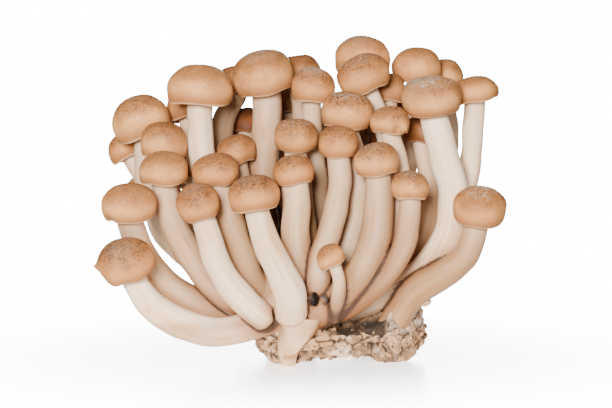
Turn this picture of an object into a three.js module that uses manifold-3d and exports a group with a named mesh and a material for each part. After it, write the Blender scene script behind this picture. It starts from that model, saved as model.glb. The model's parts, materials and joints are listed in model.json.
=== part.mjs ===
// Brown beech mushroom cluster, picked whole: caps on curved stems that fuse into one pale
// foot, which still grips a crumbly brown lump of growing medium. Millimetres, +Z up, the
// front of the cluster towards -Y, and the origin on the surface it stands on, below its middle.

import * as THREE from "three";
import { mergeVertices } from "three/addons/utils/BufferGeometryUtils.js";
import Module from "manifold-3d";

const wasm = await Module();
wasm.setup();

// Gap kept between touching pieces, and the middle of the cluster in the frame of the routes below
const GAP = 0.35;
const MIDDLE_X = 0.3;
const MIDDLE_Y = 5.88;

// Colour and roughness of the three things that grew or were grown on
const CAP_COLOURS = [0xcda688, 0xd2aa84, 0xc79f82];
const STEM_COLOUR = 0xe6d3c4;
const SUBSTRATE_COLOUR = 0x94755a;
const CAP_ROUGHNESS = 0.5;
const STEM_ROUGHNESS = 0.6;
const SUBSTRATE_ROUGHNESS = 0.95;

// Each mushroom is: cap [radius, height, fullness of the dome, share of the height at which it is
// widest], lean in degrees [right, forward], stem radii [foot, middle, top], and the stem's middle
// line from the foot to the cap's rim plane.
const MUSHROOMS = [
  // Front rows, from left to right
  [[8.1, 10, 1.92, 0.4], [-12, 28], [3.8, 4.4, 3.2],
    [[-8, -14, 12.5], [-25.5, -18.5, 10], [-41.2, -23.5, 16.8], [-49.4, -26.8, 28.7]]],
  [[7.9, 10.6, 2.2, 0.45], [-2, 8], [4, 4.2, 3.7],
    [[-10, -4, 13.5], [-26.3, -8, 16.3], [-39.2, -13, 23.3], [-46.6, -17.4, 34.2],
      [-49.2, -23.4, 43.4]]],
  [[7.4, 8.9, 2.3, 0.34], [0, 8], [4, 4.3, 3.5],
    [[-10, -8, 12.5], [-21.8, -12, 20], [-31.8, -13.5, 31.5], [-37.7, -14.5, 42.5],
      [-39.8, -15, 53.8]]],
  [[6.45, 9.3, 2.1, 0.42], [-18, 20], [4.2, 4, 3.4],
    [[-11, -18.5, 14.5], [-16.2, -21, 19.5], [-22.4, -21.5, 27.5], [-26, -21.5, 37],
      [-28.4, -21.4, 44.8]]],
  [[6.7, 8.8, 2.2, 0.42], [-6, 10], [4, 4.1, 3.4],
    [[-8, -8, 13.5], [-14.4, -12, 24.5], [-18.2, -12.5, 35.5], [-21.5, -12, 45.5],
      [-24.4, -11.3, 53.3]]],
  [[7.4, 9.3, 2.15, 0.38], [-8, 10], [4.9, 4.3, 3.3],
    [[-2.6, -20.5, 15.9], [-3, -24.4, 22.5], [-6.5, -26.5, 30.5], [-10.2, -26.6, 38.3],
      [-12.7, -26.2, 47.2]]],
  [[6.1, 7.8, 2.3, 0.36], [-7, 8], [4.2, 4.3, 3.8],
    [[3, -11, 13.5], [1.2, -14.5, 27.5], [-1.1, -18.8, 38.5], [-1, -19, 46.5],
      [-1.5, -18.9, 54.1]]],
  [[6.6, 9, 2.4, 0.44], [0, 10], [3.8, 3.9, 3.3],
    [[3, -5, 13.5], [2.5, -7.5, 28.5], [0.9, -9, 43.5], [-0.6, -9, 54.5], [-1.2, -8.8, 63.1]]],
  [[5.8, 8.6, 2.4, 0.44], [0, 10], [3.6, 3.6, 3.4],
    [[6, -13, 14.5], [5.8, -20.5, 29.5], [9, -18.4, 40.5], [11.6, -17.4, 51.5], [11.3, -17, 61.7]]],
  [[6.7, 9.1, 2, 0.36], [-8, 8], [4.6, 5, 3.4],
    [[1, -14, 12.5], [11, -19, 19], [19.8, -21.5, 30.5], [22.8, -21.5, 42.5], [22.7, -20.8, 56.7]]],
  [[5.8, 7.6, 2.2, 0.34], [4, 6], [3.2, 3.1, 2.7],
    [[10, -7, 15.5], [23.5, -12, 30], [28.2, -13.5, 43.5], [29.3, -13.5, 56.5],
      [26.4, -12.3, 68.3]]],
  [[5.7, 7.4, 2.1, 0.3], [0, 8], [3.6, 3.4, 3],
    [[4, -15, 12.5], [16, -20, 19], [26, -23, 28.5], [30.8, -25.2, 38.5], [31.8, -25.4, 50.3]]],
  [[8.8, 10.3, 2.35, 0.43], [-5, 14], [4.4, 4.8, 4],
    [[12, -5, 14.5], [33, -10, 24], [43.5, -11.5, 36.5], [45.2, -10, 49.5], [42.2, -8.5, 62.5],
      [39.2, -7.2, 74.2]]],
  [[7.6, 10.4, 2.1, 0.46], [4, 18], [4.2, 4.4, 3.2],
    [[27, -9, 10.5], [33, -13.5, 20.5], [41, -17.5, 26.4], [48.1, -20.5, 32.5],
      [51.8, -20.6, 42.7]]],
  [[4.3, 5.9, 2, 0.32], [-30, 12], [2.4, 2.1, 1.8],
    [[9.8, -19.5, 14.6], [11, -24, 20], [11.4, -27.2, 26], [9.8, -28.2, 31.1]]],
  // Middle rows
  [[7.2, 10, 2.4, 0.38], [4, 8], [3.4, 3.4, 3],
    [[-11, -2, 15.5], [-26, -1.5, 27.5], [-36, -2.5, 43.5], [-40.5, -2.2, 54.5],
      [-40.8, -2.2, 60.9]]],
  [[9, 12.6, 2, 0.38], [-20, 5], [3.8, 3.6, 3.3],
    [[-13, 4, 15.5], [-34, 9, 29.5], [-43.5, 10.5, 43.5], [-47, 10.8, 56.5], [-46.8, 10.8, 66.5]]],
  [[9.6, 11.9, 2.2, 0.31], [2, 3], [4.2, 4.1, 3.8],
    [[-8, 2, 13.5], [-19, 1.5, 25.5], [-26.4, 0, 44.5], [-29.4, -1, 62.5], [-29.9, -1, 76.3]]],
  [[5.8, 8.5, 2.3, 0.4], [-14, 6], [3, 2.9, 2.4],
    [[-6, -3, 14.5], [-11, -4, 30.5], [-14.5, -3, 44.5], [-16.8, -1.5, 52.5], [-18.2, -0.4, 58.8]]],
  [[9.6, 12.6, 2.2, 0.41], [-12, 8], [4.6, 4.6, 4.4],
    [[-5, 3, 14.5], [-10.5, 4.5, 34.5], [-11.6, 5, 52.5], [-10, 5.2, 68], [-10.1, 5.4, 79.8]]],
  [[6.6, 10, 2.2, 0.33], [4, 6], [3.3, 3.1, 2.7],
    [[3, 2, 14.5], [5.5, 2, 29.5], [5.8, 1, 47], [3.8, 1, 65], [3.7, 1.2, 77.2]]],
  [[7.6, 10.3, 2.5, 0.45], [5, 6], [3.9, 3.8, 3.3],
    [[6, -6, 14.5], [12.5, -9.5, 31.5], [16.3, -9.5, 44.5], [16.8, -8, 57.5], [13.6, -6.6, 69.7]]],
  [[7.9, 10.6, 2.2, 0.42], [-20, 8], [3.4, 3.2, 2.8],
    [[7, 1, 14.5], [18, 2.5, 28.5], [26, 3.5, 48.5], [26.5, 4.8, 64.5], [20.5, 4.3, 80.6]]],
  [[4.9, 8.6, 2.2, 0.33], [3, 0], [3, 2.8, 2.4],
    [[9, 4, 15.5], [19, 9, 36.5], [24, 12.5, 56.5], [26.6, 13.5, 68.5], [27.2, 13.2, 76.7]]],
  [[5.6, 8.2, 2.2, 0.35], [2, 0], [3.4, 3.5, 2.8],
    [[14, -1, 14.5], [29, -3, 26.5], [37.5, -3, 38.5], [38.9, -0.5, 51.5], [36.6, 2.6, 64.8]]],
  [[7.6, 7.6, 2.2, 0.3], [-12, 2], [3.6, 3.3, 3.2],
    [[16, -1, 14.5], [36, 0, 26.5], [46.5, 1, 39.5], [50.6, 2, 54.5], [51.9, 3, 66.5],
      [52.5, 3.1, 76.9]]],
  [[6.2, 8.6, 2.1, 0.34], [-24, -5], [3.2, 3.2, 2.8],
    [[-12, 8, 15.5], [-27, 13, 24.5], [-38, 17, 37.5], [-47.2, 21, 50.5], [-52.2, 21.6, 59]]],
  // Behind, seen over the others or through the gaps
  [[6.6, 9, 2.2, 0.38], [-8, -8], [3.2, 3.2, 2.8],
    [[-9, 8, 15.5], [-20, 12, 31.5], [-29, 15, 51.5], [-33.3, 16.3, 64.5], [-34.3, 16.5, 71]]],
  [[6.6, 9.4, 2.2, 0.4], [-3, -6], [3.3, 4, 3],
    [[-5, 9, 15.5], [-13.5, 14, 36.5], [-22.9, 17, 58.5], [-23.8, 18.8, 69.5],
      [-19.4, 19.2, 78.3]]],
  [[6.8, 10.2, 2.2, 0.38], [0, -5], [3.3, 3.3, 2.9],
    [[2, 9, 15.5], [1, 13, 38.5], [0.5, 16.5, 60.5], [0.5, 17.8, 71.5], [-0.2, 18.3, 80.8]]],
  [[8.4, 11.5, 2.1, 0.4], [4, -6], [3.8, 3.7, 3.3],
    [[8, 9, 15.5], [13, 13, 38.5], [17, 16.5, 60.5], [18.5, 18.4, 73.5], [19, 18.7, 85.2]]],
  [[7.8, 10.9, 2.2, 0.42], [-3, 0], [3.6, 3.6, 3.1],
    [[13, 9, 15.5], [25, 15, 36.5], [33, 20, 58.5], [35.5, 21, 71.5], [36.2, 21, 82.3]]],
  [[6.3, 9.4, 2.2, 0.36], [8, -4], [3.2, 3.1, 2.7],
    [[16, 10, 15.5], [33, 20, 34.5], [44.5, 27, 52.5], [46.8, 30, 67], [44.6, 31, 80.3]]],
  [[6, 8.6, 2.2, 0.4], [-2, -15], [3.2, 3.2, 2.8],
    [[-2, 13, 15.5], [-8, 20, 36.5], [-14, 25, 53.5], [-16.9, 27.5, 65.9]]],
  // The far side
  [[7.2, 10, 2.2, 0.36], [-18, -16], [3.6, 3.6, 3.2],
    [[-12, 11, 15.5], [-29, 20, 24.5], [-42, 28.5, 33.5], [-47, 32.5, 44]]],
  [[7.8, 10.8, 2.3, 0.42], [-8, -18], [3.8, 3.8, 3.4],
    [[-8, 13, 15.5], [-20, 22, 27.5], [-29.5, 29, 40], [-32.8, 30.8, 50.5]]],
  [[7.5, 10.4, 2.2, 0.39], [0, -16], [3.7, 3.7, 3.3],
    [[-1, 14, 15.5], [-4.5, 23, 36.5], [-6, 30, 56.5], [-4, 32, 71.5]]],
  [[7, 9.8, 2.2, 0.44], [4, -12], [3.6, 3.5, 3.1],
    [[6, 14, 15.5], [13, 22, 34.5], [17.5, 28, 49.5], [18.8, 30, 60.5]]],
  [[7.6, 10.6, 2.25, 0.34], [8, -18], [3.7, 3.7, 3.3],
    [[12, 13, 15.5], [22, 22, 34.5], [29, 29, 54.5], [31, 31, 70.5]]],
  [[6.4, 9, 2.1, 0.36], [18, -10], [3.3, 3.2, 2.8],
    [[16, 8, 14.5], [33, 10, 26.5], [41, 12.5, 40.5], [44, 13, 50.5]]],
  [[7, 9.8, 2.1, 0.42], [-14, -26], [3.6, 3.6, 3.2],
    [[-9, 14, 13.5], [-20, 26, 19.5], [-29, 36, 28.5], [-32, 39.2, 37.5]]],
  [[7, 9.6, 2.2, 0.39], [-5, -24], [3.6, 3.6, 3.2],
    [[-3, 15, 14.5], [-9, 28, 24.5], [-13, 35, 38.5], [-14, 37, 49.5]]],
  [[6.4, 9, 2.2, 0.44], [3, -22], [3.4, 3.4, 3],
    [[4, 15, 14.5], [6, 28, 28.5], [8, 37, 49], [8.2, 38, 65.5]]],
  [[7, 9.6, 2.2, 0.34], [8, -24], [3.6, 3.6, 3.2],
    [[10, 14, 13.5], [19, 28, 22.5], [23, 36, 33.5], [23.5, 38.5, 44.5]]],
  [[7, 9.8, 2.1, 0.36], [16, -18], [3.5, 3.5, 3.1],
    [[16, 11, 13.5], [31, 23, 18.5], [40, 31, 25.5], [43, 34, 34.5]]],
  [[5.6, 8, 2, 0.42], [-12, -30], [3.2, 3.1, 2.7],
    [[-6, 15, 12.5], [-14, 27, 12], [-19, 36, 15.5], [-21, 40.5, 23.5]]],
  [[5.2, 7.6, 2, 0.39], [6, -30], [3, 2.9, 2.5],
    [[7, 16, 12.5], [12, 28, 13.5], [14, 35, 20.5], [14, 38, 29.5]]],
];

// Cap: the rim turns in more, as a share of the radius, the higher up the cap is widest. Then the
// gills, as shares of the radius and height.
const CAP_SIDES = 11;
const DOME_ANGLES = [32, 62, 90];
const RIM_OPEN = 1.12;
const RIM_CLOSING = 0.7;
const GILL_INSET = 0.08;
const GILL_RISE = 0.08;
const GILL_DEPTH = 0.055;
const CEILING = 0.2;
const NECK_INSET = 0.1;

// Waviness of a cap's edge, [turns, share] of each wave, and how far the rim of a grown copy moves
// out and down, in gaps, which keeps one gap on both its sides
const WAVES = [[2, 0.03], [3, 0.018]];
const GOLDEN_ANGLE = 2.39996;
const LIP_GROWTH = [0.4, 1.8];

// Stem: sides, length of one step along it, its rounded lower end as shares of the radius, and how
// far it runs on into its cap before it is trimmed there
const STEM_SIDES = 6;
const STEM_LENGTH = 15;
const END_REACH = 0.75;
const END_WIDTH = 0.6;
const STEM_RUN_ON = 0.42;

// Pale foot where the stems fuse: level, middle and half widths of each ring
const FOOT_SIDES = 12;
const FOOT_TWIST = 0.2;
const FOOT_RINGS = [
  [6, [-4, -3], [7, 8]],
  [9, [-4, -3.5], [11, 12]],
  [13, [-2, -3], [14.5, 16]],
  [18.5, [0.5, -1.5], [19, 17]],
  [25.5, [1.5, -0.5], [19, 15]],
  [31.5, [2, 0], [13, 10]],
];
const SPUR_ROUTE = [[1.8, -13.5, 14], [-0.5, -16.9, 9.5], [-3.2, -18.7, 4], [-3.2, -18.7, 0]];
const SPUR_RADII = [9.5, 4.8, 1.7];

// Growing medium: middle, half widths and waves of its outline [turns, share, start], then its top,
// which rises to the right, and its underside, which rises at the left end
const BLOCK_SIDES = 32;
const BLOCK_MIDDLE = [9.8, -1];
const BLOCK_HALF = [26.3, 19];
const BLOCK_WAVES = [[3, 0.05, 0.6], [5, 0.035, -1]];
const BLOCK_SHARES = [0.28, 0.52, 0.74, 0.9];
const BLOCK_TOP = 11.3;
const BLOCK_RISE = 4.5;
const RISE_FROM = 6;
const RISE_TO = 30;
const BLOCK_UNDERSIDE = 2.6;
const END_LIFT = 3.4;
const LIFT_FROM = -7;
const LIFT_TO = -16;

// Its sides: share of the outline and of the thickness at the upper edge, halfway and the lower edge
const BLOCK_SIDE_RINGS = [[0.985, 0.78], [1, 0.5], [0.96, 0.22]];
const BLOCK_CRUMBLE = 0.75;
const CRUMBLE_SEED = 7;

// The four spots that it stands on, with the reach that is flat and the reach of the slope around it
const FEET = [[28, -8], [-4, -10], [-4, 10], [24, 10]];
const FLAT_REACH = 5.5;
const SLOPE_REACH = 10.5;
const FLAT_BELOW = 0.2;
const LEAST_LIFT = 0.4;

function random(seed) {
  let state = seed;
  return () => {
    state = (state * 1664525 + 1013904223) % 4294967296;
    return state / 4294967296;
  };
}

// A closed skin over rings of points, where a ring may have twice the points of the one before
function skin(first, rings, last) {
  const points = [first];
  const starts = rings.map((ring) => {
    points.push(...ring);
    return points.length - ring.length;
  });
  points.push(last);
  const faces = [];
  const count = rings[0].length;
  for (let i = 0; i < count; i++) {
    faces.push(0, starts[0] + i, starts[0] + (i + 1) % count);
  }
  for (let k = 0; k + 1 < rings.length; k++) {
    const [a, b] = [rings[k].length, rings[k + 1].length];
    for (let i = 0; i < a; i++) {
      const next = (i + 1) % a;
      if (a === b) {
        faces.push(starts[k] + i, starts[k + 1] + i, starts[k + 1] + next);
        faces.push(starts[k] + i, starts[k + 1] + next, starts[k] + next);
      } else {
        const middle = starts[k + 1] + 2 * i + 1;
        faces.push(starts[k] + i, starts[k + 1] + 2 * i, middle);
        faces.push(starts[k] + i, middle, starts[k] + next);
        faces.push(starts[k] + next, middle, starts[k + 1] + (2 * i + 2) % b);
      }
    }
  }
  const end = rings.length - 1;
  for (let i = 0; i < rings[end].length; i++) {
    faces.push(points.length - 1, starts[end] + (i + 1) % rings[end].length, starts[end] + i);
  }
  const geometry = new THREE.BufferGeometry().setFromPoints(points);
  geometry.setIndex(faces);
  return geometry;
}

function solid(geometry) {
  const merged = mergeVertices(geometry);
  return new wasm.Manifold(new wasm.Mesh({
    numProp: 3,
    vertProperties: new Float32Array(merged.attributes.position.array),
    triVerts: new Uint32Array(merged.index.array),
  }));
}

function geometryOf(body) {
  const mesh = body.getMesh();
  const geometry = new THREE.BufferGeometry();
  geometry.setAttribute("position", new THREE.BufferAttribute(mesh.vertProperties, 3));
  geometry.setIndex(new THREE.BufferAttribute(mesh.triVerts, 1));
  return geometry;
}

function ringOf(count, place) {
  return Array.from({ length: count }, (_, i) => place(2 * Math.PI * i / count, i));
}

// The cap of one mushroom, standing on the middle of its rim plane. A copy grown by the gap, with
// plain undersides in place of gills, cuts the room that the stems leave for it.
function capGeometry(index, grow = 0) {
  const [[radius, height, fullness, widest], lean, stemRadii, route] = MUSHROOMS[index];
  const rim = RIM_OPEN - RIM_CLOSING * widest;
  const gillEdge = rim - GILL_INSET;
  const wave = (angle) => WAVES.reduce(
    (sum, [turns, share]) => sum + share * Math.cos(turns * angle + turns * index * GOLDEN_ANGLE), 1);
  const at = (r, z, angle) => new THREE.Vector3(
    (r * wave(angle)) * Math.cos(angle), (r * wave(angle)) * Math.sin(angle), z);
  const bend = 2 / fullness;
  const rings = DOME_ANGLES.map((degrees) => {
    const across = Math.sin(THREE.MathUtils.degToRad(degrees)) ** bend;
    const up = Math.max(0, Math.cos(THREE.MathUtils.degToRad(degrees))) ** bend;
    const level = height * (widest + (1 - widest) * up) + grow * up;
    return ringOf(CAP_SIDES, (angle) => at(radius * across + grow, level, angle));
  });
  rings.push(ringOf(CAP_SIDES, (angle) => at(
    radius * rim + grow * LIP_GROWTH[0], -grow * LIP_GROWTH[1], angle)));
  const gillPoints = grow > 0 ? CAP_SIDES : 2 * CAP_SIDES;
  const relief = (i) => (grow > 0 || i % 2 === 0 ? 0 : height * GILL_DEPTH);
  const neck = Math.min(
    stemRadii[2] * cornerReach(STEM_SIDES) + 2 * GAP, radius * (gillEdge - NECK_INSET));
  rings.push(ringOf(gillPoints, (angle, i) => at(
    radius * gillEdge - grow, height * GILL_RISE + relief(i) - grow, angle)));
  rings.push(ringOf(gillPoints, (angle, i) => at(
    neck - grow, height * CEILING + relief(i) - grow, angle)));
  const geometry = skin(
    new THREE.Vector3(0, 0, height + grow), rings, new THREE.Vector3(0, 0, height * CEILING - grow));
  geometry.applyQuaternion(new THREE.Quaternion().setFromUnitVectors(
    new THREE.Vector3(0, 0, 1), leanDirection(lean)));
  return geometry.translate(...route[route.length - 1]);
}

function leanDirection([right, forward]) {
  return new THREE.Vector3(
    Math.tan(THREE.MathUtils.degToRad(right)), -Math.tan(THREE.MathUtils.degToRad(forward)), 1,
  ).normalize();
}

// How much wider a polygon's corners lie than the circle of the same area
function cornerReach(sides) {
  return Math.sqrt(2 * Math.PI / (sides * Math.sin(2 * Math.PI / sides)));
}

// A round tube along a curve, with its radius given at the start, the middle and the end. Its lower
// end is rounded, or else flat.
function tube(points, [start, middle, end], sides, grow, rounded) {
  const path = new THREE.CatmullRomCurve3(points, false, "catmullrom", 0.5);
  const lengths = Math.ceil(path.getLength() / STEM_LENGTH);
  const places = path.getSpacedPoints(lengths);
  const frames = path.computeFrenetFrames(lengths);
  const rings = places.map((place, k) => {
    const t = k / lengths;
    const radius = start * (1 - t) * (1 - 2 * t) + middle * 4 * t * (1 - t) + end * t * (2 * t - 1);
    const corner = (radius + grow) * cornerReach(sides);
    return ringOf(sides, (angle) => place.clone()
      .addScaledVector(frames.normals[k], -corner * Math.cos(angle))
      .addScaledVector(frames.binormals[k], corner * Math.sin(angle)));
  });
  if (!rounded) return skin(places[0], rings, places[lengths]);
  const down = path.getTangent(0).multiplyScalar(-(start + grow) * END_REACH);
  const foot = places[0].clone().add(down);
  const small = rings[0].map((point) => point.clone().lerp(places[0], 1 - END_WIDTH).add(down));
  return skin(foot, [small, ...rings], places[lengths]);
}

function stemSolid([[, height], lean, radii, route], grow) {
  const points = route.map((point) => new THREE.Vector3(...point));
  points.push(points[points.length - 1].clone().addScaledVector(leanDirection(lean), height * STEM_RUN_ON));
  return solid(tube(points, radii, STEM_SIDES, grow, true));
}

// The foot that all the stems grow from, with the spur that tapers down its front
function footSolids(grow) {
  const rings = FOOT_RINGS.map(([level, [x, y], [halfX, halfY]], k) => ringOf(
    FOOT_SIDES, (angle) => new THREE.Vector3(
      x + (halfX + grow) * Math.cos(angle + FOOT_TWIST * k),
      y + (halfY + grow) * Math.sin(angle + FOOT_TWIST * k), level)));
  rings.reverse();
  const top = FOOT_RINGS[FOOT_RINGS.length - 1];
  const bottom = FOOT_RINGS[0];
  const foot = skin(
    new THREE.Vector3(...top[1], top[0] + grow), rings, new THREE.Vector3(...bottom[1], bottom[0] - grow));
  const spur = tube(
    SPUR_ROUTE.map((point) => new THREE.Vector3(...point)), SPUR_RADII, STEM_SIDES, grow, false);
  return [solid(foot), solid(spur)];
}

function stemUnion(grow) {
  const bodies = [...MUSHROOMS.map((mushroom) => stemSolid(mushroom, grow)), ...footSolids(grow)];
  return wasm.Manifold.union(bodies);
}

function largestPiece(body) {
  return body.decompose().sort((a, b) => b.volume() - a.volume())[0];
}

function stemCluster() {
  const caps = wasm.Manifold.union(MUSHROOMS.map((_, index) => solid(capGeometry(index, GAP))));
  return largestPiece(stemUnion(0).subtract(caps));
}

// The lump of growing medium: crumbled all over, hollowed a little below, flat where it stands
function substrateBlock() {
  const draw = random(CRUMBLE_SEED);
  const crumble = () => (draw() - 0.5) * 2 * BLOCK_CRUMBLE;
  const outline = (angle) => BLOCK_WAVES.reduce(
    (sum, [turns, share, start]) => sum + share * Math.cos(turns * angle + start), 1);
  const place = (angle, share) => [
    BLOCK_MIDDLE[0] + BLOCK_HALF[0] * share * outline(angle) * Math.cos(angle),
    BLOCK_MIDDLE[1] + BLOCK_HALF[1] * share * outline(angle) * Math.sin(angle),
  ];
  const topAt = (x) => BLOCK_TOP + BLOCK_RISE * THREE.MathUtils.smoothstep(x, RISE_FROM, RISE_TO);
  const undersideAt = (x, y) => {
    const reach = Math.min(...FEET.map(([u, v]) => Math.hypot(x - u, y - v)));
    return BLOCK_UNDERSIDE * THREE.MathUtils.smoothstep(reach, FLAT_REACH, SLOPE_REACH)
      + END_LIFT * THREE.MathUtils.smoothstep(-x, -LIFT_FROM, -LIFT_TO);
  };
  const ring = (share, up) => ringOf(BLOCK_SIDES, (angle) => {
    const [x, y] = place(angle, share);
    const level = undersideAt(x, y) * (1 - up) + topAt(x) * up;
    const rough = level < FLAT_BELOW ? 0 : Math.max(LEAST_LIFT, level + crumble());
    return new THREE.Vector3(x + crumble(), y + crumble(), rough);
  });
  const rings = [
    ...BLOCK_SHARES.map((share) => ring(share, 1)),
    ...BLOCK_SIDE_RINGS.map(([share, up]) => ring(share, up)),
    ...BLOCK_SHARES.toReversed().map((share) => ring(share, 0)),
  ];
  const [x, y] = BLOCK_MIDDLE;
  const geometry = skin(
    new THREE.Vector3(x, y, topAt(x)), rings, new THREE.Vector3(x, y, undersideAt(x, y)));
  return largestPiece(solid(geometry).subtract(stemUnion(GAP)));
}

function material(color, roughness) {
  return new THREE.MeshStandardMaterial({ color, roughness, metalness: 0 });
}

function named(name, geometry, finish) {
  const mesh = new THREE.Mesh(geometry, finish);
  mesh.name = name;
  return mesh;
}

const cluster = new THREE.Group();
cluster.add(
  named("substrate_block", geometryOf(substrateBlock()), material(SUBSTRATE_COLOUR, SUBSTRATE_ROUGHNESS)),
  named("stem_cluster", geometryOf(stemCluster()), material(STEM_COLOUR, STEM_ROUGHNESS)),
);
MUSHROOMS.forEach((_, index) => {
  const colour = CAP_COLOURS[index % CAP_COLOURS.length];
  const name = `cap_${String(index + 1).padStart(2, "0")}`;
  cluster.add(named(name, capGeometry(index), material(colour, CAP_ROUGHNESS)));
});
cluster.position.set(-MIDDLE_X, -MIDDLE_Y, 0);

export default cluster;
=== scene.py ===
"""Looks of the brown beech mushroom cluster: caps with their gills, the stems that fuse into one
foot, and the crumbly growing medium below. Lengths are in millimetres up to the last step,
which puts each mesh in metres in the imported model's frame."""
import json
import math

import bmesh
import bpy
import numpy as np
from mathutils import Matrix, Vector, noise

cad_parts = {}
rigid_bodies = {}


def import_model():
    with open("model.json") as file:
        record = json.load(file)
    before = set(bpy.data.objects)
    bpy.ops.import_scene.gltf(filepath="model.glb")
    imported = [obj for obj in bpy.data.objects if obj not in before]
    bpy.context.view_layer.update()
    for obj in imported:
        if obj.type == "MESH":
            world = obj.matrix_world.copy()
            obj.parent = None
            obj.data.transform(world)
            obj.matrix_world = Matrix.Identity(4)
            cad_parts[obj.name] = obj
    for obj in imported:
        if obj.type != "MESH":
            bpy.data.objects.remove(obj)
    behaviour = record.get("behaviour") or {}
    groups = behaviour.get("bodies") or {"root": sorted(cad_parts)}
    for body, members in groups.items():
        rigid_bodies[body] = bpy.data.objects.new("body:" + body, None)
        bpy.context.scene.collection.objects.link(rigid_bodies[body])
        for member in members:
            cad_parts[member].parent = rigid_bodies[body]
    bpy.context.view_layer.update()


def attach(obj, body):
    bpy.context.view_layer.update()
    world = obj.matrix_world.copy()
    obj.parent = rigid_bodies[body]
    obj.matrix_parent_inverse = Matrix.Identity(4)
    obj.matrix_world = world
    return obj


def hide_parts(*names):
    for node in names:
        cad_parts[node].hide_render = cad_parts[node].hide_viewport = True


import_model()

# The routes' frame: the middle of the cluster, and millimetres to metres
MIDDLE = np.array([0.3, 5.88, 0.0])
METRES = 0.001

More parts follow.
